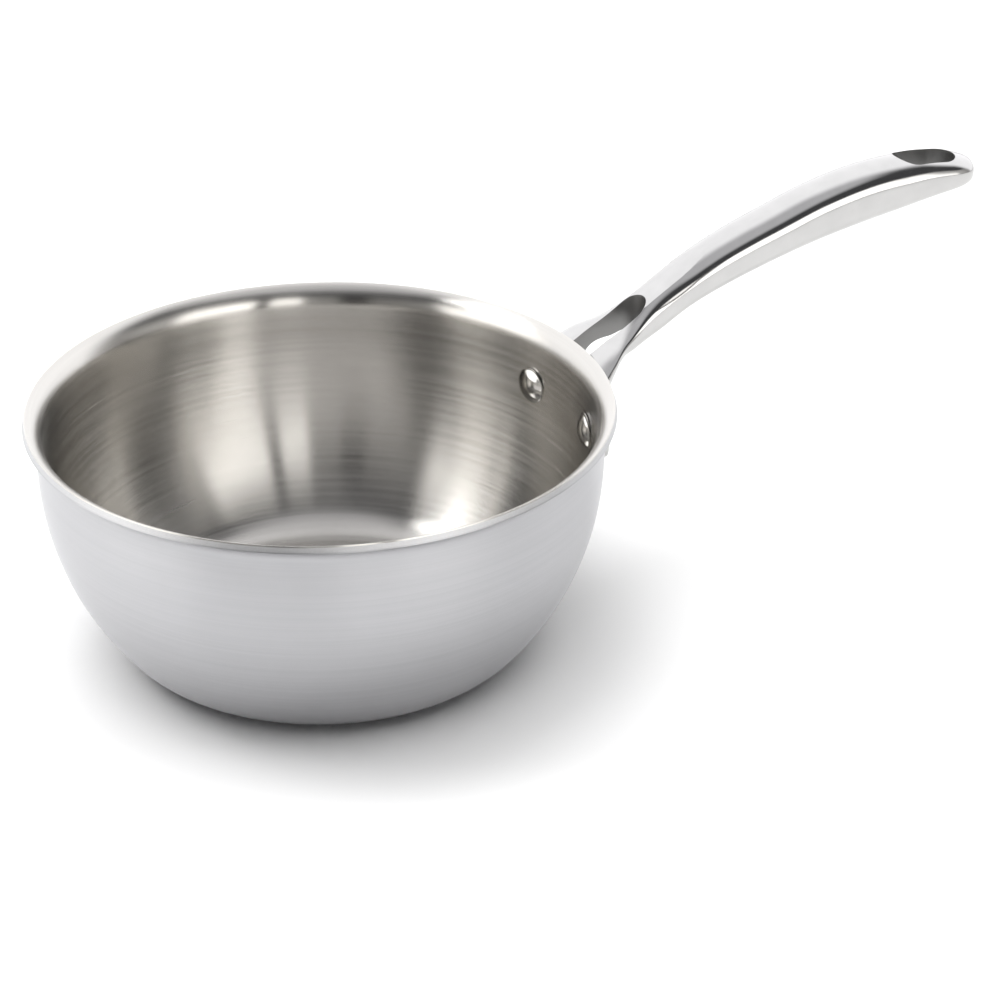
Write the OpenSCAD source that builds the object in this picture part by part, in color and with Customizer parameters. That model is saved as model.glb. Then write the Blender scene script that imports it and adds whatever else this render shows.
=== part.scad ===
// Saucier pan, 20 cm: a clad bowl of three plies with a riveted, forked cast handle.
// The origin is the centre of the flat underside, +Z is up and the handle points along +X.

/* [Bowl] */
// Height of the rim above the stove
rim_h = 93.5; // [85:0.5:105]
// Radius of the ball that the belly follows
belly_r = 106; // [100:0.5:112]
// Height at which the wall stands upright
belly_h = 76; // [70:0.5:78]
// Outer radius of the upright wall
wall_r = 101.2; // [96:0.1:108]
// Radius of the flat underside
base_r = 58; // [54:0.5:61]
// Radius of the lip's outward curl, on the outside
lip_curl_r = 6.5; // [5:0.1:8]
// How far the lip curls over
lip_angle = 70; // [50:1:80]

/* [Plies] */
// Thickness of the inner stainless ply
inner_ply = 0.5; // [0.3:0.1:0.8]
// Thickness of the aluminium core
core_ply = 1.6; // [1.2:0.1:2.2]
// Thickness of the outer magnetic stainless ply
outer_ply = 0.5; // [0.3:0.1:0.8]

/* [Handle] */
// Reach of the handle's end from the centre of the bowl
handle_reach = 274; // [255:1:295]
// Half width of the handle's grip
grip_half_w = 11; // [9:0.5:12.5]
// Rise of the domed top above the widest line
crown_h = 8.3; // [7:0.1:9]
// Width of the slot between the prongs
slot_w = 13; // [11:0.5:15]
// Distance of the slot's round end from the centre of the bowl
slot_end_x = 131.5; // [128:0.5:136]
// Slope of the flat facet on top of the fork
facet_slope = 30.6; // [29.8:0.1:31.4]
// Width of the hanging hole
hole_w = 15; // [12:0.5:16]
// Length of the hanging hole
hole_l = 26; // [20:0.5:28]
// Distance of the hanging hole's centre from the handle's end
hole_inset = 20.5; // [18:0.5:24]

/* [Feet and rivets] */
// Thickness of a foot
foot_t = 4.5; // [3.5:0.5:6]
// Depth of a foot's lower edge below the rim
foot_depth = 33.5; // [31.5:0.5:37.5]
// Distance of a foot's outer edge from the middle plane
foot_out_y = 31; // [29:0.5:34]
// Corner radius of a foot
foot_corner_r = 6; // [3:0.5:8]
// Angle of a rivet from the handle's middle plane
rivet_angle = 12.5; // [11:0.5:13.5]
// Depth of the rivets below the rim
rivet_depth = 24; // [21:0.5:26]
// Diameter of a rivet's shank
shank_d = 6.5; // [5:0.5:8]
// Diameter of a rivet's domed head
head_d = 14; // [11:0.5:15]
// Height of a rivet's domed head
head_h = 2.6; // [1.8:0.1:3.4]
// Diameter of a rivet's peened end
tail_d = 10; // [8.5:0.5:12]
// Height of a rivet's peened end
tail_h = 1.2; // [0.8:0.1:2]
// Clearance of a shank in its holes
shank_gap = 0.05; // [0.02:0.01:0.2]
// Clearance between the lip's edge and the handle
lip_gap = 0.4; // [0.2:0.1:1]

/* [Hidden] */
// Smoothness of the turned shapes
turn_fn = 180;
// Smoothness of the drilled shapes
bore_fn = 48;

// Whole wall
wall_t = inner_ply + core_ply + outer_ply;
// Centre of the belly's ball, in radius and height
belly_x = wall_r - belly_r;
// Radius of the curve between the underside and the belly
corner_r = (pow(belly_r, 2) - pow(base_r - belly_x, 2) - pow(belly_h, 2)) / (2 * (belly_r - belly_h));
// Slope at which that curve meets the belly, from straight down
corner_a = atan2(base_r - belly_x, belly_h - corner_r);
// Height at which the lip starts to curl
lip_h = rim_h - (lip_curl_r + wall_t) * sin(lip_angle);
// Outermost radius of the lip
lip_r = wall_r + lip_curl_r * (1 - cos(lip_angle));
// Steps along each curve of the outline
corner_steps = 8;
belly_steps = 14;
lip_steps = 8;

// Outline of the bowl at a depth into its wall, from the axis to the lip's edge.
// Depth 0 is the outside, and a negative depth lies outside the bowl.
function outline(depth) = concat(
    [[0, depth]],
    [for (i = [0 : corner_steps]) let (a = corner_a * i / corner_steps)
        [base_r + (corner_r - depth) * sin(a), corner_r - (corner_r - depth) * cos(a)]],
    [for (i = [1 : belly_steps]) let (a = corner_a + (90 - corner_a) * i / belly_steps)
        [belly_x + (belly_r - depth) * sin(a), belly_h - (belly_r - depth) * cos(a)]],
    [for (i = [0 : lip_steps]) let (a = lip_angle * i / lip_steps)
        [wall_r + lip_curl_r - (lip_curl_r + depth) * cos(a), lip_h + (lip_curl_r + depth) * sin(a)]]
);

// The same outline from the lip's edge back to the axis
function backwards(points) = [for (i = [len(points) - 1 : -1 : 0]) points[i]];

// Outer radius of the belly or wall at a height
function wall_r_at(z) = belly_x + sqrt(pow(belly_r, 2) - pow(min(z, belly_h) - belly_h, 2));

// Height of the rivets, and where they pass the wall and the foot
rivet_z = rim_h - rivet_depth;
// Height of a foot's lower edge
foot_low_z = rim_h - foot_depth;
rivet_wall_r = wall_r_at(rivet_z);
// Depth of the flat that is milled on each foot for the rivet's end
spot_depth = 0.4;
spot_r = rivet_wall_r + foot_t - spot_depth;
spot_d = tail_d + 3;

// Smooth curve through points of rising first coordinate
function slope_at(p, i) = (i == 0) ? (p[1][1] - p[0][1]) / (p[1][0] - p[0][0])
    : (i == len(p) - 1) ? (p[i][1] - p[i - 1][1]) / (p[i][0] - p[i - 1][0])
    : (p[i + 1][1] - p[i - 1][1]) / (p[i + 1][0] - p[i - 1][0]);
function span_of(p, x, i = 0) = (i >= len(p) - 2 || x < p[i + 1][0]) ? i : span_of(p, x, i + 1);
function curve(p, x) = let (
        i = span_of(p, x),
        w = p[i + 1][0] - p[i][0],
        t = (x - p[i][0]) / w,
        a = p[i][1],
        b = p[i + 1][1],
        u = slope_at(p, i) * w,
        v = slope_at(p, i + 1) * w
    )
    a + u * t + (3 * (b - a) - 2 * u - v) * pow(t, 2) + (2 * (a - b) + u + v) * pow(t, 3);

// The handle's lines are set from the wall outwards and from the rim upwards.
// Ridge along the top
top_line = [[-6, -8], [4, -1], [18, 6.8], [30, 15.2], [44, 23.4], [58, 30.3], [70, 34.9], [82, 38.8],
    [102, 44.9], [124, 48.9], [147, 49.7], [161, 47.9], [174, 45]];
// Keel along the underside
low_line = [[-6, -21], [4, -13], [12, -4], [22, -2], [33, 2], [45, 8.9], [58, 14], [77, 19.7],
    [96, 24.2], [115, 27.6], [135, 30.6], [155, 33.7], [174, 36.4]];
// Half width beyond that of the grip
spread_line = [[-6, 14], [0, 12.3], [8, 8], [17, 2.5], [30, -1.2], [48, -0.8], [80, 0], [174, 0.6]];
// Length of the grip's rounded end
end_round = 13;
// Length on which the lines above are drawn
line_len = 174;
// Where the handle's body starts, inside the bowl's wall, so that the wall trims it
root_x = wall_r - 6;
// Share of the line's length at a distance from the wall, stretched beyond the fork
fork_len = slot_end_x - wall_r + 30;
function line_x(x) = let (d = x - wall_r)
    d < fork_len ? d : fork_len + (d - fork_len) * (line_len - fork_len) / (handle_reach - wall_r - fork_len);
function top_z(x) = rim_h + curve(top_line, line_x(x));
function low_z(x) = rim_h + curve(low_line, line_x(x));
// The end closes like a rounded square
end_power = 2.6;
function end_share(x) = let (s = max(0, (x - handle_reach + end_round) / end_round))
    pow(1 - pow(s, end_power), 1 / end_power);
function half_w(x) = (grip_half_w + curve(spread_line, line_x(x))) * end_share(x);

// Stations along the handle, closer together at its end
body_stations = 34;
end_stations = 8;
last_share = 0.985;
stations = concat(
    [for (i = [0 : body_stations - 1]) root_x + (handle_reach - end_round - root_x) * i / body_stations],
    [for (i = [0 : end_stations]) handle_reach - end_round + end_round * sin(90 * last_share * i / end_stations)]
);
// Points round a station, and how square the underside is
ring_points = 32;
keel_power = 4;
// Most that the domed top takes of the whole height
crown_share = 0.45;
// Height that is left at the very end, as a share
end_height = 0.55;

function signed_power(v, e) = sign(v) * pow(abs(v), e);
function ring(x) = let (
        hw = half_w(x),
        top = top_z(x),
        low = low_z(x),
        thin = end_height + (1 - end_height) * end_share(x),
        mid = top - min(crown_h, (top - low) * crown_share),
        up = (top - mid) * thin,
        down = (mid - low) * thin
    )
    [for (k = [0 : ring_points - 1]) let (a = 360 * k / ring_points)
        sin(a) >= 0
            ? [x, hw * cos(a), mid + up * sin(a)]
            : [x, hw * signed_power(cos(a), 2 / keel_power), mid + down * signed_power(sin(a), 2 / keel_power)]];

module handle_body() {
    rings = [for (x = stations) ring(x)];
    n = len(rings);
    m = ring_points;
    polyhedron(
        points = [for (r = rings) for (p = r) p],
        faces = concat(
            [[for (k = [0 : m - 1]) k]],
            [for (i = [0 : n - 2]) for (k = [0 : m - 1]) [i * m + k, (i + 1) * m + k, i * m + (k + 1) % m]],
            [for (i = [0 : n - 2]) for (k = [0 : m - 1])
                [i * m + (k + 1) % m, (i + 1) * m + k, (i + 1) * m + (k + 1) % m]],
            [[for (k = [m - 1 : -1 : 0]) (n - 1) * m + k]]
        )
    );
}

// Rectangle with round corners, from its lower corner
module round_rect(w, h, r) {
    translate([r, 0]) square([w - 2 * r, h]);
    translate([0, r]) square([w, h - 2 * r]);
    for (x = [r, w - r], y = [r, h - r]) translate([x, y]) circle(r = r, $fn = bore_fn);
}

// Length of a cut or a block that has to reach well past the handle
past = 60;

// Feet that lie on the wall below the lip
foot_high_z = lip_h - 2;
foot_inset = 22;
module feet() {
    intersection() {
        rotate_extrude($fn = turn_fn) polygon(concat([[0, -foot_t]], outline(-foot_t), [[0, rim_h]]));
        for (side = [-1, 1]) mirror([0, side < 0 ? 1 : 0, 0])
            translate([wall_r - foot_inset, 0, foot_low_z]) rotate([90, 0, 90]) linear_extrude(height = past)
                translate([slot_w / 2, 0])
                    round_rect(foot_out_y - slot_w / 2, foot_high_z - foot_low_z, foot_corner_r);
    }
}

// Room that the bowl takes: its outside, and a straight shaft past the lip
seam = 0.001;
module bowl_room() {
    rotate_extrude($fn = turn_fn)
        polygon(concat(
            [for (p = outline(0)) if (p[1] <= lip_h + seam) p],
            [for (i = [1 : lip_steps]) let (a = lip_angle * i / lip_steps)
                [wall_r + lip_curl_r + lip_gap - lip_curl_r * cos(a), lip_h + lip_curl_r * sin(a)]],
            [[lip_r + lip_gap, rim_h + past], [0, rim_h + past]]
        ));
}

// Slot between the prongs, open towards the bowl
module slot() {
    tall = rim_h + past;
    translate([0, -slot_w / 2, 0]) cube([slot_end_x - slot_w / 2, slot_w, tall]);
    translate([slot_end_x - slot_w / 2, 0, 0]) cylinder(d = slot_w, h = tall, $fn = bore_fn);
}

// Flat facet on top of the fork, which narrows to a point on the ridge
facet_low_x = wall_r + 4;
facet_low_z = rim_h - 1.4;
module facet() {
    translate([facet_low_x, 0, facet_low_z]) rotate([0, -facet_slope, 0])
        translate([-past, -past, 0]) cube([3 * past, 2 * past, past]);
}

// Oval hole for hanging the pan
hole_x = handle_reach - hole_inset;
module hanging_hole() {
    straight = hole_l - hole_w;
    for (side = [-1, 1])
        translate([hole_x + side * straight / 2, 0, rim_h])
            cylinder(d = hole_w, h = 2 * past, $fn = bore_fn);
    translate([hole_x - straight / 2, -hole_w / 2, rim_h]) cube([straight, hole_w, 2 * past]);
}

// A round bar along one rivet's axis, side 1 to the left of the handle and -1 to its right
module rivet_bar(side, d, r_from, r_to) {
    rotate([0, 0, side * rivet_angle]) translate([r_from, 0, rivet_z]) rotate([0, 90, 0])
        cylinder(d = d, h = r_to - r_from, $fn = bore_fn);
}
bore_reach = 20;
module rivet_holes() {
    for (side = [-1, 1])
        rivet_bar(side, shank_d + 2 * shank_gap, rivet_wall_r - bore_reach, rivet_wall_r + bore_reach);
}

// One ply between two depths of the wall
module ply(from, to) {
    difference() {
        rotate_extrude($fn = turn_fn) polygon(concat(outline(from), backwards(outline(to))));
        rivet_holes();
    }
}

module outer_shell() { color("silver") ply(0, outer_ply); }
module aluminium_core() { color("lightgray") ply(outer_ply, outer_ply + core_ply); }
module cooking_surface() { color("gainsboro") ply(outer_ply + core_ply, wall_t); }

module handle() {
    color("darkgray") difference() {
        union() {
            handle_body();
            feet();
        }
        bowl_room();
        slot();
        facet();
        hanging_hole();
        rivet_holes();
        for (side = [-1, 1]) rivet_bar(side, spot_d, spot_r, spot_r + tail_d);
    }
}

// Radius of the ball that a dome of a given width and height is cut from
function dome_r(d, h) = (pow(d / 2, 2) + pow(h, 2)) / (2 * h);
// Arc of a dome from its edge to its peak, at a place along the rivet, rising with way 1 or -1
dome_steps = 8;
function dome(d, h, at, way) = let (r = dome_r(d, h), full = asin(d / 2 / r))
    [for (i = [0 : dome_steps]) let (a = full * (1 - i / dome_steps))
        [r * sin(a), at + way * (h - r + r * cos(a))]];

// A rivet: a domed head on the inner wall, a shank through wall and foot, and a peened end.
// The head's flat underside bears on the curved wall at its two sides.
head_seat_r = sqrt(pow(rivet_wall_r - wall_t, 2) - pow(head_d / 2, 2));
module rivet(side) {
    color("white") rotate([0, 0, side * rivet_angle]) translate([0, 0, rivet_z]) rotate([0, 90, 0])
        rotate_extrude($fn = bore_fn) polygon(concat(
            backwards(dome(head_d, head_h, head_seat_r, -1)),
            [[shank_d / 2, head_seat_r], [shank_d / 2, spot_r]],
            dome(tail_d, tail_h, spot_r, 1)
        ));
}
module rivet_left() { rivet(1); }
module rivet_right() { rivet(-1); }

cooking_surface();
aluminium_core();
outer_shell();
handle();
rivet_left();
rivet_right();
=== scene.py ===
"""Saucier pan: clad bowl of three brushed plies, polished forked handle and two domed rivets."""

import logging
import math
from dataclasses import dataclass, field
from enum import Enum

import bmesh
import bpy
from mathutils import Matrix, Vector

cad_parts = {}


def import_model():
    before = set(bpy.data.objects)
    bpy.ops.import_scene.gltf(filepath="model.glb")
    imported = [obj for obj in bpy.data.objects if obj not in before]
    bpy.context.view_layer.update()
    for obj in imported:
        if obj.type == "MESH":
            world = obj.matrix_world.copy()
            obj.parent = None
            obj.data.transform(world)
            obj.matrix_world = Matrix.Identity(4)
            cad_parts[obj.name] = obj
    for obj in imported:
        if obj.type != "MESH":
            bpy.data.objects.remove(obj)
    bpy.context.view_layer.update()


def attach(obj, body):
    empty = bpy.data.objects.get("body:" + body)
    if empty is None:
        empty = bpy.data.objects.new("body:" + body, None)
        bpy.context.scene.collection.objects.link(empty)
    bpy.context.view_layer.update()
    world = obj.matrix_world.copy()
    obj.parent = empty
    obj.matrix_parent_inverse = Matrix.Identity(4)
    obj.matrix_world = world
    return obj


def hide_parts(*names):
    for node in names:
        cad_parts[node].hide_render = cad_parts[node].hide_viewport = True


log = logging.getLogger("saucier")

MM = 0.001
Point = tuple[float, float]


class Cut(Enum):
    """What one piece does to another."""

    JOIN = "UNION"
    TAKE = "DIFFERENCE"
    TRIM = "INTERSECT"


def arc(centre: Point, radius: float, start: float, end: float, steps: int) -> list[Point]:
    """Points on an arc in the radius and height plane.

    Args:
        centre: Radius and height of the arc's centre.
        radius: Radius of the arc.
        start: First angle in degrees, from straight down towards the outside.
        end: Last angle in degrees.
        steps: Number of steps along the arc.

    Returns:
        The points, both ends included.
    """
    angles = [math.radians(start + (end - start) * i / steps) for i in range(steps + 1)]
    return [(centre[0] + radius * math.sin(a), centre[1] - radius * math.cos(a)) for a in angles]


def curve_through(points: list[Point], x: float) -> float:
    """Height of a smooth curve through points of rising first coordinate.

    Args:
        points: The points that the curve goes through.
        x: First coordinate at which the height is wanted.

    Returns:
        The curve's height there.
    """
    last = len(points) - 1
    i = next((k for k in range(last - 1) if x < points[k + 1][0]), last - 1)

    def slope(k: int) -> float:
        """Slope of the curve at one of its points."""
        lo, hi = points[max(k - 1, 0)], points[min(k + 1, last)]
        return (hi[1] - lo[1]) / (hi[0] - lo[0])

    width = points[i + 1][0] - points[i][0]
    t = (x - points[i][0]) / width
    a, b = points[i][1], points[i + 1][1]
    u, v = slope(i) * width, slope(i + 1) * width
    return a + u * t + (3 * (b - a) - 2 * u - v) * t**2 + (2 * (a - b) + u + v) * t**3


def finished(name: str, bm: bmesh.types.BMesh, sharp_deg: float = 32.0) -> bpy.types.Object:
    """Turns a built mesh into a smooth-shaded object at the origin.

    Args:
        name: Name of the piece.
        bm: The built mesh, in metres, which is freed.
        sharp_deg: Angle above which an edge stays crisp.

    Returns:
        The new object, linked to the scene.
    """
    bmesh.ops.remove_doubles(bm, verts=bm.verts, dist=1e-7)
    bmesh.ops.recalc_face_normals(bm, faces=bm.faces)
    mesh = bpy.data.meshes.new(name)
    bm.to_mesh(mesh)
    bm.free()
    mesh.shade_smooth()
    mesh.set_sharp_from_angle(angle=math.radians(sharp_deg))
    obj = bpy.data.objects.new(name, mesh)
    bpy.context.scene.collection.objects.link(obj)
    return obj


def turned(name: str, outline: list[Point], steps: int, place: Matrix | None = None) -> bpy.types.Object:
    """Spins an outline round the upright axis into a closed piece.

    Args:
        name: Name of the piece.
        outline: Radius and height of each point, in millimetres. It starts and ends on the axis,
            or comes back to its first point.
        steps: Number of steps round the full turn.
        place: Where the turned piece goes, if not upright at the origin.

    Returns:
        The finished object.
    """
    bm = bmesh.new()
    verts = [bm.verts.new((max(r, 0.0) * MM, 0.0, z * MM)) for r, z in outline]
    edges = [bm.edges.new((a, b)) for a, b in zip(verts, verts[1:])]
    bmesh.ops.spin(
        bm,
        geom=verts + edges,
        cent=(0, 0, 0),
        axis=(0, 0, 1),
        angle=2 * math.pi,
        steps=steps,
        use_merge=True,
    )
    bmesh.ops.remove_doubles(bm, verts=bm.verts, dist=1e-7)
    if place is not None:
        bmesh.ops.transform(bm, matrix=place, verts=bm.verts)
    return finished(name, bm)


class Nodes:
    """A material's node tree, with short calls to add and join nodes."""

    def __init__(self, name: str) -> None:
        """Starts a material with one shader."""
        self.material = bpy.data.materials.new(name)
        self.material.use_nodes = True
        self.tree = self.material.node_tree
        self.shader = self.tree.nodes["Principled BSDF"]

    def add(self, kind: str, **settings: object) -> bpy.types.Node:
        """Adds a node.

        Args:
            kind: Blender's name of the node's type.
            settings: Properties to set on the node.

        Returns:
            The new node.
        """
        node = self.tree.nodes.new(kind)
        for key, value in settings.items():
            setattr(node, key, value)
        return node

    def join(self, source: bpy.types.NodeSocket, target: bpy.types.NodeSocket) -> None:
        """Links one socket to another."""
        self.tree.links.new(source, target)

    def math(self, operation: str, a: object, b: object = 0.0) -> bpy.types.NodeSocket:
        """Adds a Math node.

        Args:
            operation: Name of the operation.
            a: First input, a socket or a number.
            b: Second input, a socket or a number.

        Returns:
            The result's socket.
        """
        node = self.add("ShaderNodeMath", operation=operation)
        for socket, value in zip(node.inputs, (a, b)):
            if isinstance(value, bpy.types.NodeSocket):
                self.join(value, socket)
            else:
                socket.default_value = value
        return node.outputs[0]

    def place(self) -> bpy.types.NodeSocket:
        """The point's place on the object."""
        return self.add("ShaderNodeTexCoord").outputs["Object"]

    def parts(self, vector: bpy.types.NodeSocket) -> list[bpy.types.NodeSocket]:
        """The three parts of a vector."""
        node = self.add("ShaderNodeSeparateXYZ")
        self.join(vector, node.inputs[0])
        return list(node.outputs)

    def noise(
        self, vector: bpy.types.NodeSocket, scale: float, detail: float = 3.0
    ) -> bpy.types.NodeSocket:
        """Adds a noise pattern.

        Args:
            vector: Where the pattern is read.
            scale: Number of its cells in a unit.
            detail: Number of finer layers.

        Returns:
            The pattern's value, from 0 to 1.
        """
        node = self.add("ShaderNodeTexNoise")
        node.inputs["Scale"].default_value = scale
        node.inputs["Detail"].default_value = detail
        self.join(vector, node.inputs["Vector"])
        return node.outputs["Fac"]

    def spread(self, value: bpy.types.NodeSocket, low: float, high: float) -> bpy.types.NodeSocket:
        """Maps a pattern's middle range onto a range of numbers.

        Args:
            value: The pattern's value.
            low: Result where the pattern is low.
            high: Result where the pattern is high.

        Returns:
            The mapped value's socket.
        """
        node = self.add("ShaderNodeMapRange")
        for key, number in (("From Min", 0.3), ("From Max", 0.7), ("To Min", low), ("To Max", high)):
            node.inputs[key].default_value = number
        self.join(value, node.inputs["Value"])
        return node.outputs["Result"]

    def tint(self, value: bpy.types.NodeSocket, dark: tuple, light: tuple) -> bpy.types.NodeSocket:
        """Blends two colours by a value.

        Args:
            value: Share of the lighter colour.
            dark: Colour at 0.
            light: Colour at 1.

        Returns:
            The colour's socket.
        """
        node = self.add("ShaderNodeMix", data_type="RGBA")
        node.inputs[6].default_value = (*dark, 1.0)
        node.inputs[7].default_value = (*light, 1.0)
        self.join(value, node.inputs[0])
        return node.outputs[2]

    def bump(self, height: bpy.types.NodeSocket, distance: float, strength: float = 1.0) -> None:
        """Raises the surface by a pattern.

        Args:
            height: The pattern.
            distance: Height of the pattern in metres.
            strength: Share of the effect.
        """
        node = self.add("ShaderNodeBump")
        node.inputs["Distance"].default_value = distance
        node.inputs["Strength"].default_value = strength
        self.join(height, node.inputs["Height"])
        self.join(node.outputs["Normal"], self.shader.inputs["Normal"])


@dataclass(frozen=True)
class BrushedSteel:
    """Stainless steel with fine lines that run round the upright axis."""

    name: str
    dark: tuple[float, float, float]
    light: tuple[float, float, float]
    roughness: float
    anisotropy: float
    line_height: float = 1.2e-6

    def make(self) -> bpy.types.Material:
        """Builds the material: brushed lines, broader streaks and faint handling marks."""
        nodes = Nodes(self.name)
        place = nodes.place()
        x, y, z = nodes.parts(place)
        squares = nodes.math("ADD", nodes.math("MULTIPLY", x, x), nodes.math("MULTIPLY", y, y))
        radius = nodes.math("SQRT", squares)
        around = nodes.math("ARCTAN2", y, x)
        lines = self.across_lines(nodes, radius, z, around, 4200.0, 1.6)
        streaks = self.across_lines(nodes, radius, z, around, 620.0, 0.8)
        marks = nodes.noise(place, 34.0, 4.0)
        shader = nodes.shader
        shader.inputs["Metallic"].default_value = 1.0
        shader.inputs["Anisotropic"].default_value = self.anisotropy
        shader.inputs["Anisotropic Rotation"].default_value = 0.25
        tangent = nodes.add("ShaderNodeTangent", direction_type="RADIAL", axis="Z")
        nodes.join(tangent.outputs[0], shader.inputs["Tangent"])
        mixed = nodes.math("ADD", nodes.math("MULTIPLY", lines, 0.45), nodes.math("MULTIPLY", streaks, 0.55))
        tinted = nodes.tint(nodes.spread(mixed, 0.0, 1.0), self.dark, self.light)
        nodes.join(tinted, shader.inputs["Base Color"])
        rough = nodes.math("ADD", nodes.spread(mixed, -0.035, 0.035), nodes.spread(marks, -0.02, 0.02))
        nodes.join(nodes.math("ADD", rough, self.roughness), shader.inputs["Roughness"])
        nodes.bump(lines, self.line_height, 0.5)
        return nodes.material

    @staticmethod
    def across_lines(
        nodes: Nodes,
        radius: bpy.types.NodeSocket,
        height: bpy.types.NodeSocket,
        around: bpy.types.NodeSocket,
        fineness: float,
        length: float,
    ) -> bpy.types.NodeSocket:
        """Noise that is drawn out round the axis.

        Args:
            nodes: The material's nodes.
            radius: Distance from the axis.
            height: Height on the axis.
            around: Angle round the axis.
            fineness: Lines in a metre.
            length: How often a line breaks in a turn.

        Returns:
            The pattern's value.
        """
        joined = nodes.add("ShaderNodeCombineXYZ")
        nodes.join(nodes.math("MULTIPLY", radius, fineness), joined.inputs[0])
        nodes.join(nodes.math("MULTIPLY", height, fineness), joined.inputs[1])
        nodes.join(nodes.math("MULTIPLY", nodes.math("SINE", around), length), joined.inputs[2])
        return nodes.noise(joined.outputs[0], 1.0, 2.0)


@dataclass(frozen=True)
class Recess:
    """An upright slot or hole with round ends, whose walls get painted shade, in millimetres."""

    start: float
    end: float
    half_width: float


@dataclass(frozen=True)
class PolishedSteel:
    """Cast or headed stainless steel, polished, with faint waviness and hairlines, and painted shade on the
    walls of any recesses.
    """

    name: str
    colour: tuple[float, float, float]
    roughness: float
    waviness: float
    recesses: tuple[Recess, ...] = ()
    # Dark colour painted on the walls of recesses as shade, with more roughness there.
    recess_shade_colour: tuple[float, float, float] = (0.23, 0.228, 0.224)
    recess_roughness: float = 0.3

    def recess_shade_share(self, nodes: Nodes, recess: Recess) -> bpy.types.NodeSocket:
        """Share of the painted shade: 1 within a recess, fading to 0 just outside it.

        Args:
            nodes: The material's nodes.
            recess: The slot or hole.

        Returns:
            The share's socket.
        """
        x, y, _ = nodes.parts(nodes.place())
        middle = (recess.start + recess.end) / 2 * MM
        straight = (recess.end - recess.start) / 2 * MM
        along = nodes.math("ABSOLUTE", nodes.math("SUBTRACT", x, middle))
        along = nodes.math("MAXIMUM", nodes.math("SUBTRACT", along, straight), 0.0)
        squares = nodes.math("ADD", nodes.math("POWER", along, 2.0), nodes.math("MULTIPLY", y, y))
        step = nodes.add("ShaderNodeMapRange")
        step.inputs["From Min"].default_value = (recess.half_width + 0.12) * MM
        step.inputs["From Max"].default_value = (recess.half_width + 0.02) * MM
        nodes.join(nodes.math("SQRT", squares), step.inputs["Value"])
        return step.outputs["Result"]

    def make(self) -> bpy.types.Material:
        """Builds the material: mirror polish, slow waves of a casting, fine wiping marks and painted shade in
        the recesses.
        """
        nodes = Nodes(self.name)
        place = nodes.place()
        shader = nodes.shader
        shader.inputs["Metallic"].default_value = 1.0
        drawn = nodes.add("ShaderNodeMapping")
        drawn.inputs["Scale"].default_value = (90.0, 1500.0, 1500.0)
        nodes.join(place, drawn.inputs["Vector"])
        hairlines = nodes.noise(drawn.outputs[0], 1.0, 2.0)
        waves = nodes.noise(place, 55.0, 1.0)
        smudges = nodes.noise(place, 140.0, 4.0)
        dark = tuple(c * 0.94 for c in self.colour)
        colour = nodes.tint(nodes.spread(smudges, 0.0, 1.0), dark, self.colour)
        rough = nodes.math("ADD", nodes.spread(hairlines, -0.02, 0.02), nodes.spread(smudges, -0.015, 0.02))
        rough = nodes.math("ADD", rough, self.roughness)
        # Each slot and hole gets painted shade: a dark colour and more roughness on its walls.
        for recess in self.recesses:
            share = self.recess_shade_share(nodes, recess)
            blend = nodes.add("ShaderNodeMix", data_type="RGBA")
            nodes.join(share, blend.inputs[0])
            nodes.join(colour, blend.inputs[6])
            blend.inputs[7].default_value = (*self.recess_shade_colour, 1.0)
            colour = blend.outputs[2]
            rough = nodes.math("ADD", rough, nodes.math("MULTIPLY", share, self.recess_roughness))
        nodes.join(colour, shader.inputs["Base Color"])
        nodes.join(rough, shader.inputs["Roughness"])
        nodes.bump(waves, self.waviness, 0.6)
        return nodes.material


@dataclass(frozen=True)
class CoreMetal:
    """Aluminium of the core, seen only at the lip's cut edge."""

    name: str = "core_aluminium"
    colour: tuple[float, float, float] = (0.56, 0.56, 0.57)

    def make(self) -> bpy.types.Material:
        """Builds the material: a turned edge with fine tool lines."""
        nodes = Nodes(self.name)
        shader = nodes.shader
        shader.inputs["Metallic"].default_value = 1.0
        lines = nodes.noise(nodes.place(), 2600.0, 2.0)
        dark = tuple(c * 0.85 for c in self.colour)
        nodes.join(nodes.tint(nodes.spread(lines, 0.0, 1.0), dark, self.colour), shader.inputs["Base Color"])
        nodes.join(nodes.spread(lines, 0.38, 0.5), shader.inputs["Roughness"])
        nodes.bump(lines, 2e-6, 0.6)
        return nodes.material


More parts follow.
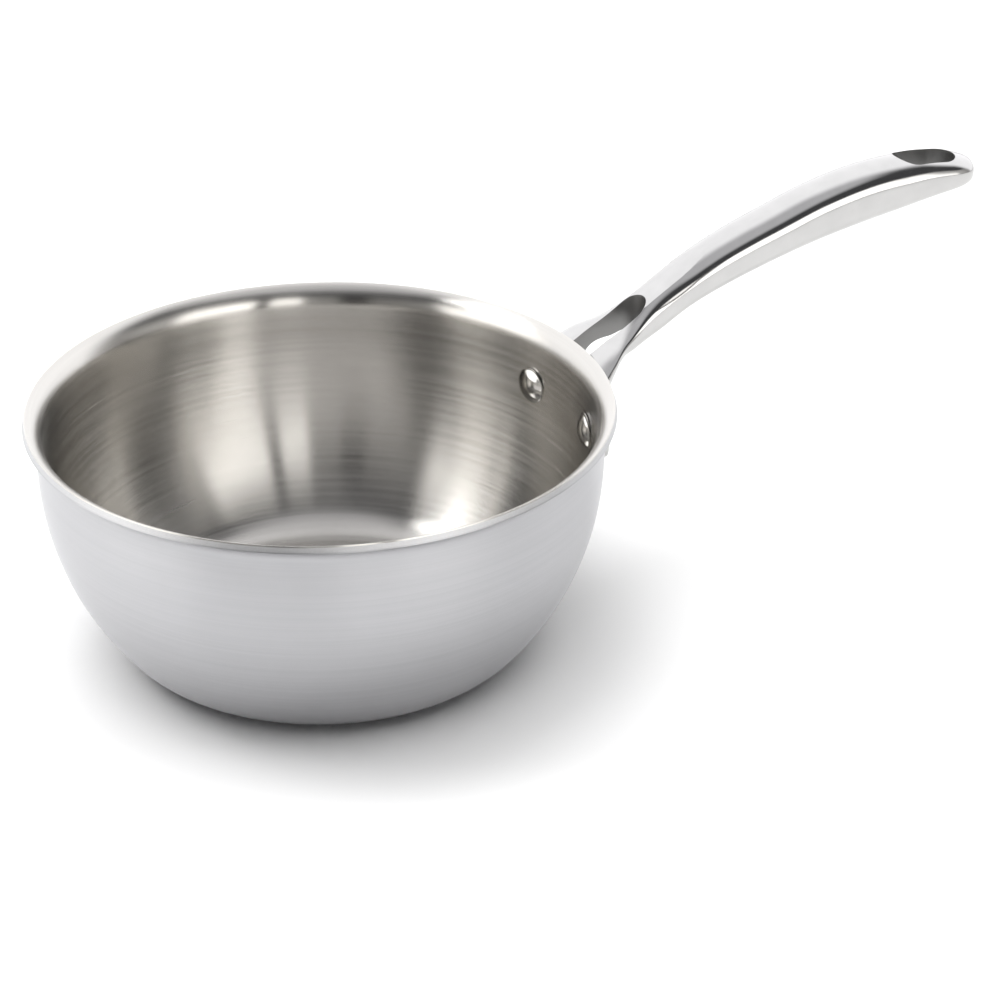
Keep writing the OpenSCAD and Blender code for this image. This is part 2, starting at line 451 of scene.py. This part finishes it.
@dataclass
class Bowl:
    """The clad bowl: three plies that share one outline, in millimetres."""

    rim_h: float = 93.5
    belly_r: float = 106.0
    belly_h: float = 76.0
    wall_r: float = 101.2
    base_r: float = 58.0
    curl_r: float = 6.5
    lip_angle: float = 70.0
    inner_ply: float = 0.5
    core_ply: float = 1.6
    outer_ply: float = 0.5
    turn_steps: int = 256
    pieces: list[bpy.types.Object] = field(default_factory=list)

    @property
    def wall_t(self) -> float:
        """Thickness of the three plies."""
        return self.inner_ply + self.core_ply + self.outer_ply

    @property
    def belly_x(self) -> float:
        """Radius at which the belly's ball has its centre."""
        return self.wall_r - self.belly_r

    @property
    def corner_r(self) -> float:
        """Radius of the curve between the underside and the belly."""
        reach = self.base_r - self.belly_x
        return (self.belly_r**2 - reach**2 - self.belly_h**2) / (2 * (self.belly_r - self.belly_h))

    @property
    def lip_h(self) -> float:
        """Height at which the lip starts to curl."""
        return self.rim_h - (self.curl_r + self.wall_t) * math.sin(math.radians(self.lip_angle))

    def wall_r_at(self, z: float) -> float:
        """Outer radius of the belly or wall at a height."""
        return self.belly_x + math.sqrt(self.belly_r**2 - (min(z, self.belly_h) - self.belly_h) ** 2)

    def outline(self, depth: float) -> list[Point]:
        """Outline of the bowl at a depth into its wall.

        Args:
            depth: Depth below the outside, in millimetres.

        Returns:
            Points from the axis to the lip's edge.
        """
        corner = self.corner_r
        meet = math.degrees(math.atan2(self.base_r - self.belly_x, self.belly_h - corner))
        points = [(0.0, depth), (self.base_r * 0.5, depth)]
        points += arc((self.base_r, corner), corner - depth, 0, meet, 20)
        points += arc((self.belly_x, self.belly_h), self.belly_r - depth, meet, 90, 44)[1:]
        points += [(self.wall_r - depth, self.belly_h + (self.lip_h - self.belly_h) * 0.5)]
        centre = (self.wall_r + self.curl_r, self.lip_h)
        for i in range(21):
            a = math.radians(self.lip_angle * i / 20)
            r = self.curl_r + depth
            points.append((centre[0] - r * math.cos(a), centre[1] + r * math.sin(a)))
        return points

    def ply(self, name: str, shallow: float, deep: float) -> bpy.types.Object:
        """Builds one ply between two depths of the wall.

        Args:
            name: Name of the piece.
            shallow: Depth of its outer face.
            deep: Depth of its inner face.

        Returns:
            The finished ply.
        """
        piece = turned(name, self.outline(shallow) + self.outline(deep)[::-1], self.turn_steps)
        self.pieces.append(piece)
        return piece

    def build(self) -> list[bpy.types.Object]:
        """Builds the three plies and dresses them."""
        core_at = self.outer_ply
        inner_at = self.outer_ply + self.core_ply
        outside = BrushedSteel("outer_brushed_steel", (0.425, 0.425, 0.438), (0.475, 0.475, 0.488), 0.36, 0.8)
        inside = BrushedSteel("inner_brushed_steel", (0.56, 0.545, 0.52), (0.62, 0.605, 0.58), 0.23, 0.95)
        plan = (
            ("outer_shell", 0.0, core_at, outside.make(), "outer_shell"),
            ("aluminium_core", core_at, inner_at, CoreMetal().make(), "aluminium_core"),
            ("cooking_surface", inner_at, self.wall_t, inside.make(), "cooking_surface"),
        )
        for node, shallow, deep, material, slot in plan:
            dress(self.ply(node + "_turned", shallow, deep), material, node)
        return self.pieces


def dress(piece: bpy.types.Object, material: bpy.types.Material, node: str) -> None:
    """Gives a piece its finish and its body, and hides the CAD node that it replaces.

    Args:
        piece: The finished piece.
        material: Its finish.
        node: The CAD node that it replaces.
    """
    piece.data.materials.clear()
    piece.data.materials.append(material)
    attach(piece, "root")
    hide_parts(node)


@dataclass
class Handle:
    """The cast handle with its fork, slot, facet, hanging hole and feet, in millimetres."""

    bowl: Bowl
    reach: float = 274.0
    grip_half_w: float = 11.0
    crown_h: float = 8.3
    crown_share: float = 0.45
    end_height: float = 0.55
    slot_w: float = 13.0
    slot_end_x: float = 131.5
    facet_slope: float = 30.6
    facet_drop: float = 1.4
    facet_out: float = 4.0
    past: float = 60.0
    hole_w: float = 15.0
    hole_l: float = 26.0
    hole_inset: float = 20.5
    foot_t: float = 4.5
    foot_low_z: float = 60.0
    foot_out_y: float = 31.0
    foot_corner_r: float = 6.0
    lip_gap: float = 0.4
    end_round: float = 13.0
    line_len: float = 174.0
    keel_power: float = 4.0
    end_power: float = 2.6
    ring_points: int = 96
    stations: int = 150

    top_line: tuple[Point, ...] = (
        (-6, -8), (4, -1), (18, 6.8), (30, 15.2), (44, 23.4), (58, 30.3), (70, 34.9), (82, 38.8),
        (102, 44.9), (124, 48.9), (147, 49.7), (161, 47.9), (174, 45),
    )  # fmt: skip
    low_line: tuple[Point, ...] = (
        (-6, -21), (4, -13), (12, -4), (22, -2), (33, 2), (45, 8.9), (58, 14), (77, 19.7),
        (96, 24.2), (115, 27.6), (135, 30.6), (155, 33.7), (174, 36.4),
    )  # fmt: skip
    spread_line: tuple[Point, ...] = (
        (-6, 14), (0, 12.3), (8, 8), (17, 2.5), (30, -1.2), (48, -0.8), (80, 0), (174, 0.6),
    )  # fmt: skip

    def line_x(self, x: float) -> float:
        """Distance along the drawn lines at a distance from the bowl's centre."""
        d = x - self.bowl.wall_r
        fork = self.slot_end_x - self.bowl.wall_r + 30
        if d < fork:
            return d
        return fork + (d - fork) * (self.line_len - fork) / (self.reach - self.bowl.wall_r - fork)

    def end_share(self, x: float) -> float:
        """Share of the full width that is left towards the handle's end."""
        s = max(0.0, (x - self.reach + self.end_round) / self.end_round)
        return (1 - s**self.end_power) ** (1 / self.end_power)

    def ring(self, x: float) -> list[Vector]:
        """Points round the handle at one distance from the bowl's centre.

        Args:
            x: Distance from the bowl's centre.

        Returns:
            The points, in metres.
        """
        share = self.end_share(x)
        at = self.line_x(x)
        half = (self.grip_half_w + curve_through(list(self.spread_line), at)) * share
        top = self.bowl.rim_h + curve_through(list(self.top_line), at)
        low = self.bowl.rim_h + curve_through(list(self.low_line), at)
        thin = self.end_height + (1 - self.end_height) * share
        mid = top - min(self.crown_h, (top - low) * self.crown_share)
        up, down = (top - mid) * thin, (mid - low) * thin
        points = []
        for k in range(self.ring_points):
            a = 2 * math.pi * k / self.ring_points
            c, s = math.cos(a), math.sin(a)
            if s >= -1e-9:
                y, z = half * c, mid + up * s
            else:
                e = 2 / self.keel_power
                y = half * math.copysign(abs(c) ** e, c)
                z = mid - down * abs(s) ** e
            points.append(Vector((x, y, z)) * MM)
        return points

    def body(self) -> bpy.types.Object:
        """Builds the handle's uncut body by drawing a ring out along its lines."""
        root = self.bowl.wall_r - 6
        straight = self.reach - self.end_round
        ends = 26
        xs = [root + (straight - root) * i / self.stations for i in range(self.stations)]
        xs += [straight + self.end_round * math.sin(math.pi / 2 * 0.992 * i / ends) for i in range(ends + 1)]
        bm = bmesh.new()
        made = bmesh.ops.create_circle(bm, cap_ends=True, segments=self.ring_points, radius=0.01)
        ring = list(made["verts"])
        for vert, point in zip(ring, self.ring(xs[0])):
            vert.co = point
        edges = [bm.edges.get((a, b)) for a, b in zip(ring, ring[1:] + ring[:1])]
        for x in xs[1:]:
            out = bmesh.ops.extrude_edge_only(bm, edges=edges)["geom"]
            new = [g for g in out if isinstance(g, bmesh.types.BMVert)]
            follow = {}
            for vert in new:
                old = min((e.other_vert(vert) for e in vert.link_edges if e.other_vert(vert) not in new),
                          key=lambda v: (v.co - vert.co).length)
                follow[old] = vert
            ring = [follow[v] for v in ring]
            for vert, point in zip(ring, self.ring(x)):
                vert.co = point
            edges = [bm.edges.get((a, b)) for a, b in zip(ring, ring[1:] + ring[:1])]
        bmesh.ops.contextual_create(bm, geom=edges)
        return finished("handle_cast", bm)

    def foot_plate(self, side: int) -> bmesh.types.BMesh:
        """Upright plate with round corners that one foot is cut to.

        Args:
            side: 1 for the left foot, -1 for the right one.

        Returns:
            The plate's mesh.
        """
        inner, outer = self.slot_w / 2, self.foot_out_y
        low, high = self.foot_low_z, self.bowl.lip_h - 2
        x_from = self.bowl.wall_r - 22
        bm = bmesh.new()
        centre = Vector((x_from + 20, side * (inner + outer) / 2, (low + high) / 2))
        matrix = Matrix.Translation(centre * MM)
        size = Vector((40, outer - inner, high - low)) * MM
        bmesh.ops.create_cube(bm, size=1.0, matrix=matrix @ Matrix.Diagonal((*size, 1.0)))
        long_edges = [e for e in bm.edges if abs((e.verts[0].co - e.verts[1].co).x) > 0.01]
        bmesh.ops.bevel(bm, geom=long_edges, offset=self.foot_corner_r * MM, offset_type="OFFSET",
                        affect="EDGES", segments=14, profile=0.5, material=-1)
        return bm

    def feet(self) -> list[bpy.types.Object]:
        """Builds the two feet: plates cut to a shell round the bowl."""
        shell_outline = self.bowl.outline(-self.foot_t) + [(0.0, self.bowl.rim_h)]
        feet = []
        for side in (1, -1):
            foot = finished(f"foot_{side}", self.foot_plate(side))
            shell = turned("foot_shell", shell_outline, 256)
            cut(foot, shell, Cut.TRIM)
            feet.append(foot)
        return feet

    def room_outline(self) -> list[Point]:
        """Outline of the room that the bowl takes, with a straight shaft past the lip."""
        bowl = self.bowl
        points = [p for p in bowl.outline(0.0) if p[1] <= bowl.lip_h + 0.001]
        for i in range(1, 21):
            a = math.radians(bowl.lip_angle * i / 20)
            points.append((
                bowl.wall_r + bowl.curl_r + self.lip_gap - bowl.curl_r * math.cos(a),
                bowl.lip_h + bowl.curl_r * math.sin(a),
            ))
        lip_r = bowl.wall_r + bowl.curl_r * (1 - math.cos(math.radians(bowl.lip_angle)))
        points += [(lip_r + self.lip_gap, bowl.rim_h + 40), (0.0, bowl.rim_h + 40)]
        return points

    def tall_oval(self, name: str, x: float, length: float, width: float, low: float) -> bpy.types.Object:
        """An upright bar with round ends, to cut a slot or a hole with.

        Args:
            name: Name of the cutter.
            x: Middle of the oval along the handle.
            length: Length of the oval.
            width: Width of the oval.
            low: Height of its lower end.

        Returns:
            The cutter.
        """
        bm = bmesh.new()
        radius = width / 2 * MM
        bmesh.ops.create_cone(bm, cap_ends=True, segments=96, radius1=radius, radius2=radius,
                              depth=0.12, matrix=Matrix.Translation(Vector((x, 0, low + 60)) * MM))
        shift = (length - width) / 2 * MM
        for vert in bm.verts:
            vert.co.x += shift if vert.co.x > x * MM else -shift
        return finished(name, bm)

    def facet_block(self) -> bpy.types.Object:
        """Tilted block whose underside cuts the flat facet on top of the fork."""
        bm = bmesh.new()
        bmesh.ops.create_cube(bm, size=1.0)
        size = Vector((3 * self.past, 2 * self.past, self.past)) * MM
        low = Vector((self.bowl.wall_r + self.facet_out, 0, self.bowl.rim_h - self.facet_drop)) * MM
        place = Matrix.Translation(low) @ Matrix.Rotation(math.radians(-self.facet_slope), 4, "Y")
        place = place @ Matrix.Translation(Vector((self.past / 2, 0, self.past / 2)) * MM)
        bmesh.ops.transform(bm, matrix=place @ Matrix.Diagonal((*size, 1.0)), verts=bm.verts)
        return finished("facet_block", bm)

    def build(self) -> bpy.types.Object:
        """Builds the whole handle, dresses it and returns it."""
        handle = self.body()
        for foot in self.feet():
            cut(handle, foot, Cut.JOIN)
        cut(handle, turned("bowl_room", self.room_outline(), 256), Cut.TAKE)
        slot_from = 60.0
        slot_x, slot_l = (slot_from + self.slot_end_x) / 2, self.slot_end_x - slot_from
        cut(handle, self.tall_oval("slot_bar", slot_x, slot_l, self.slot_w, 40.0), Cut.TAKE)
        cut(handle, self.facet_block(), Cut.TAKE)
        hole_x = self.reach - self.hole_inset
        cut(handle, self.tall_oval("hole_bar", hole_x, self.hole_l, self.hole_w, 90.0), Cut.TAKE)
        hole_straight = (self.hole_l - self.hole_w) / 2
        # The slot and the hanging hole, whose walls get painted shade.
        recesses = (
            Recess(0.0, self.slot_end_x - self.slot_w / 2, self.slot_w / 2),
            Recess(hole_x - hole_straight, hole_x + hole_straight, self.hole_w / 2),
        )
        metal = PolishedSteel("handle_polished_steel", (0.54, 0.535, 0.53), 0.11, 8e-6, recesses)
        dress(handle, metal.make(), "handle")
        return handle


def cut(target: bpy.types.Object, tool: bpy.types.Object, way: Cut) -> None:
    """Joins, cuts or trims one piece with another and drops the tool.

    Args:
        target: The piece that is changed.
        tool: The piece that changes it, which is removed.
        way: Whether the tool is joined on, taken away or trims the piece.
    """
    modifier = target.modifiers.new("cut", "BOOLEAN")
    modifier.object = tool
    modifier.operation = way.value
    modifier.solver = "EXACT"
    graph = bpy.context.evaluated_depsgraph_get()
    mesh = bpy.data.meshes.new_from_object(target.evaluated_get(graph))
    target.modifiers.clear()
    mesh.shade_smooth()
    mesh.set_sharp_from_angle(angle=math.radians(28))
    old = target.data
    target.data = mesh
    bpy.data.meshes.remove(old)
    tool_mesh = tool.data
    bpy.data.objects.remove(tool)
    bpy.data.meshes.remove(tool_mesh)


@dataclass
class Rivets:
    """The two rivets, turned about their own axes, in millimetres."""

    bowl: Bowl
    handle: Handle
    angle: float = 12.5
    depth: float = 24.0
    shank_d: float = 6.5
    head_d: float = 14.0
    head_h: float = 2.6
    tail_d: float = 10.0
    tail_h: float = 1.2
    spot_depth: float = 0.4
    shank_gap: float = 0.05

    def place(self, side: int) -> Matrix:
        """Turns an upright piece onto one rivet's axis, side 1 to the left and -1 to the right."""
        up = Vector((0, 0, (self.bowl.rim_h - self.depth) * MM))
        outward = Matrix.Rotation(math.pi / 2, 4, "Y")
        return Matrix.Rotation(math.radians(side * self.angle), 4, "Z") @ Matrix.Translation(up) @ outward

    def bar(self, side: int, width: float, start: float, end: float) -> bpy.types.Object:
        """A round bar along one rivet's axis, to drill with.

        Args:
            side: 1 for the left rivet, -1 for the right one.
            width: Diameter of the bar.
            start: Its first end, from the bowl's axis.
            end: Its other end.

        Returns:
            The bar.
        """
        bm = bmesh.new()
        place = self.place(side) @ Matrix.Translation((0, 0, (start + end) / 2 * MM))
        radius = width / 2 * MM
        bmesh.ops.create_cone(bm, cap_ends=True, segments=64, radius1=radius, radius2=radius,
                              depth=(end - start) * MM, matrix=place)
        return finished("drill", bm)

    def drill(self, pieces: list[bpy.types.Object], handle: bpy.types.Object) -> None:
        """Drills the rivets' holes and mills the flats that their ends sit on.

        Args:
            pieces: The pieces that the rivets pass.
            handle: The handle, whose feet get the flats.
        """
        wall = self.bowl.wall_r_at(self.bowl.rim_h - self.depth)
        spot = wall + self.handle.foot_t - self.spot_depth
        bore = self.shank_d + 2 * self.shank_gap
        for side in (1, -1):
            for piece in [*pieces, handle]:
                cut(piece, self.bar(side, bore, wall - 20, wall + 20), Cut.TAKE)
            cut(handle, self.bar(side, self.tail_d + 3, spot, spot + self.tail_d), Cut.TAKE)

    @staticmethod
    def dome(d: float, h: float, at: float, way: int) -> list[Point]:
        """Arc of a dome from its edge to its peak.

        Args:
            d: Width of the dome.
            h: Height of the dome.
            at: Place of its foot along the rivet.
            way: Direction in which it rises, 1 or -1.

        Returns:
            Points from the edge to the axis.
        """
        r = ((d / 2) ** 2 + h**2) / (2 * h)
        full = math.asin(d / 2 / r)
        edge = 0.35
        points = [(d / 2, at), (d / 2, at + way * edge)]
        for i in range(1, 25):
            a = full * (1 - i / 24)
            points.append((r * math.sin(a), at + way * max(edge, h - r + r * math.cos(a))))
        return points

    def build(self) -> list[bpy.types.Object]:
        """Builds and dresses both rivets."""
        bowl = self.bowl
        z = bowl.rim_h - self.depth
        wall = bowl.wall_r_at(z)
        seat = math.sqrt((wall - bowl.wall_t) ** 2 - (self.head_d / 2) ** 2)
        spot = wall + self.handle.foot_t - self.spot_depth
        outline = self.dome(self.head_d, self.head_h, seat, -1)[::-1]
        outline += [(self.shank_d / 2, seat), (self.shank_d / 2, spot)]
        outline += self.dome(self.tail_d, self.tail_h, spot, 1)
        metal = PolishedSteel("rivet_polished_steel", (0.66, 0.65, 0.63), 0.12, 6e-6).make()
        made = []
        for name, side in (("rivet_left", 1), ("rivet_right", -1)):
            rivet = turned(name + "_turned", outline, 64, self.place(side))
            dress(rivet, metal, name)
            made.append(rivet)
        return made


@dataclass(frozen=True)
class Studio:
    """Pale floor, soft lights and the camera of the photograph."""

    camera_at: tuple[float, float, float] = (-0.3798, -0.8784, 0.5695)
    camera_pitch: float = 28.35
    camera_turn: float = -27.2
    focal_px: float = 3000.0
    sensor_mm: float = 36.0
    image_px: int = 1000
    sky_strength: float = 0.68
    panel_top: tuple[float, float] = (0.5, 0.62)
    overhead: tuple[float, float] = (0.84, 0.95)
    backdrop_way: tuple[float, float] = (0.397, 0.918)
    backdrop_edge: tuple[float, float] = (0.05, 0.4)
    panels: tuple[Point, ...] = (
        (0, 0.3), (46, 0.2), (110, 0.2), (128, 0.6), (142, 3.4), (188, 3.2), (199, 0.5), (222, 0.35),
        (228, 0.03), (235, 0.03), (240, 0.5), (251, 0.6), (255, 3.0), (265, 3.0), (268, 0.25), (271, 0.25),
        (275, 3.8), (302, 3.6), (312, 1.0), (345, 0.6),
    )  # fmt: skip

    def floor(self) -> bpy.types.Object:
        """Lays the pale floor."""
        bm = bmesh.new()
        bmesh.ops.create_grid(bm, x_segments=1, y_segments=1, size=6.0)
        floor = finished("floor", bm)
        nodes = Nodes("pale_floor")
        nodes.shader.inputs["Base Color"].default_value = (0.9, 0.9, 0.9, 1.0)
        nodes.shader.inputs["Roughness"].default_value = 0.9
        nodes.shader.inputs["Specular IOR Level"].default_value = 0.1
        floor.data.materials.append(nodes.material)
        return floor

    def light(self, name: str, at: tuple, size: tuple[float, float], power: float) -> bpy.types.Object:
        """Hangs a soft box that faces the bowl.

        Args:
            name: Name of the light.
            at: Where it hangs.
            size: Its width and height.
            power: Its power in watts.

        Returns:
            The light.
        """
        data = bpy.data.lights.new(name, "AREA")
        data.shape = "RECTANGLE"
        data.size, data.size_y = size
        data.energy = power
        lamp = bpy.data.objects.new(name, data)
        bpy.context.scene.collection.objects.link(lamp)
        lamp.location = at
        lamp.rotation_euler = (Vector((0.02, 0, 0.05)) - Vector(at)).to_track_quat("-Z", "Y").to_euler()
        return lamp

    def camera(self) -> bpy.types.Object:
        """Sets the camera where the photograph was taken from."""
        data = bpy.data.cameras.new("camera")
        data.sensor_width = self.sensor_mm
        data.lens = self.focal_px / self.image_px * self.sensor_mm
        camera = bpy.data.objects.new("camera", data)
        bpy.context.scene.collection.objects.link(camera)
        camera.location = self.camera_at
        camera.rotation_euler = (math.radians(90 - self.camera_pitch), 0, math.radians(self.camera_turn))
        bpy.context.scene.camera = camera
        return camera

    def sky(self) -> None:
        """Fills the room with pale light from above and soft light and dark panels all round."""
        world = bpy.data.worlds.new("studio")
        bpy.context.scene.world = world
        world.use_nodes = True
        tree = world.node_tree
        back = tree.nodes["Background"]
        where = tree.nodes.new("ShaderNodeTexCoord")
        parts = tree.nodes.new("ShaderNodeSeparateXYZ")
        tree.links.new(where.outputs["Generated"], parts.inputs[0])
        turn = tree.nodes.new("ShaderNodeMath")
        turn.operation = "ARCTAN2"
        tree.links.new(parts.outputs[1], turn.inputs[0])
        tree.links.new(parts.outputs[0], turn.inputs[1])
        share = tree.nodes.new("ShaderNodeMapRange")
        share.inputs["From Min"].default_value = -math.pi
        share.inputs["From Max"].default_value = math.pi
        tree.links.new(turn.outputs[0], share.inputs["Value"])
        ramp = tree.nodes.new("ShaderNodeValToRGB")
        ramp.color_ramp.interpolation = "EASE"
        stops = sorted((((azimuth + 180) % 360) / 360, light) for azimuth, light in self.panels)
        elements = ramp.color_ramp.elements
        while len(elements) < len(stops):
            elements.new(0.5)
        for element, (at, light) in zip(elements, stops):
            element.position = at
            element.color = (light, light * 0.985, light * 0.96, 1.0)
        tree.links.new(share.outputs["Result"], ramp.inputs[0])
        panel_end = self.stepped(tree, parts.outputs[2], self.panel_top)
        above_panels = self.blended(tree, panel_end, ramp.outputs[0], (0.12, 0.12, 0.125, 1.0))
        overhead = self.stepped(tree, parts.outputs[2], self.overhead)
        above = self.blended(tree, overhead, above_panels, (1.1, 1.1, 1.13, 1.0))
        behind = tree.nodes.new("ShaderNodeVectorMath")
        behind.operation = "DOT_PRODUCT"
        behind.inputs[1].default_value = (*self.backdrop_way, 0.0)
        tree.links.new(where.outputs["Generated"], behind.inputs[0])
        back_share = self.stepped(tree, behind.outputs["Value"], self.backdrop_edge)
        whole = self.blended(tree, back_share, above, (2.3, 2.3, 2.34, 1.0))
        tree.links.new(whole, back.inputs["Color"])
        back.inputs["Strength"].default_value = self.sky_strength
        world.cycles_visibility.diffuse = False

    @staticmethod
    def stepped(tree: bpy.types.NodeTree, value: bpy.types.NodeSocket, edge: Point) -> bpy.types.NodeSocket:
        """Soft step from 0 to 1 where a value passes an edge.

        Args:
            tree: The world's nodes.
            value: The value.
            edge: Where the step starts and where it ends.

        Returns:
            The step's socket.
        """
        step = tree.nodes.new("ShaderNodeMapRange")
        step.interpolation_type = "SMOOTHSTEP"
        step.inputs["From Min"].default_value, step.inputs["From Max"].default_value = edge
        tree.links.new(value, step.inputs["Value"])
        return step.outputs["Result"]

    @staticmethod
    def blended(
        tree: bpy.types.NodeTree, share: bpy.types.NodeSocket, first: object, second: object
    ) -> bpy.types.NodeSocket:
        """Blends two colours of the room.

        Args:
            tree: The world's nodes.
            share: Share of the second colour.
            first: A colour or a socket.
            second: A colour or a socket.

        Returns:
            The blended colour's socket.
        """
        blend = tree.nodes.new("ShaderNodeMix")
        blend.data_type = "RGBA"
        tree.links.new(share, blend.inputs[0])
        for socket, value in ((blend.inputs[6], first), (blend.inputs[7], second)):
            if isinstance(value, bpy.types.NodeSocket):
                tree.links.new(value, socket)
            else:
                socket.default_value = value
        return blend.outputs[2]

    def build(self) -> None:
        """Builds the stage, the lights and the camera."""
        self.floor()
        self.camera()
        self.sky()
        self.light("window", (-1.06, 0.61, 1.45), (0.8, 0.8), 9.0)
        self.light("top", (-0.2, 0.4, 2.2), (1.2, 1.2), 18.0).visible_glossy = False
        self.light("ceiling", (0.0, 0.0, 3.0), (5.0, 5.0), 190.0).visible_glossy = False
        bpy.context.scene.view_settings.view_transform = "Standard"


def reported(pieces: list[bpy.types.Object]) -> None:
    """Logs each piece with its number of faces."""
    for piece in pieces:
        log.info("%s: %d faces", piece.name, len(piece.data.polygons))


def main() -> None:
    """Builds the pan in order and logs each piece."""
    logging.basicConfig(level=logging.INFO, format="%(message)s")
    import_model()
    bowl = Bowl()
    plies = bowl.build()
    handle = Handle(bowl)
    cast = handle.build()
    rivets = Rivets(bowl, handle)
    rivets.drill(plies, cast)
    reported([*plies, cast, *rivets.build()])
    Studio().build()


if __name__ == "__main__":
    main()
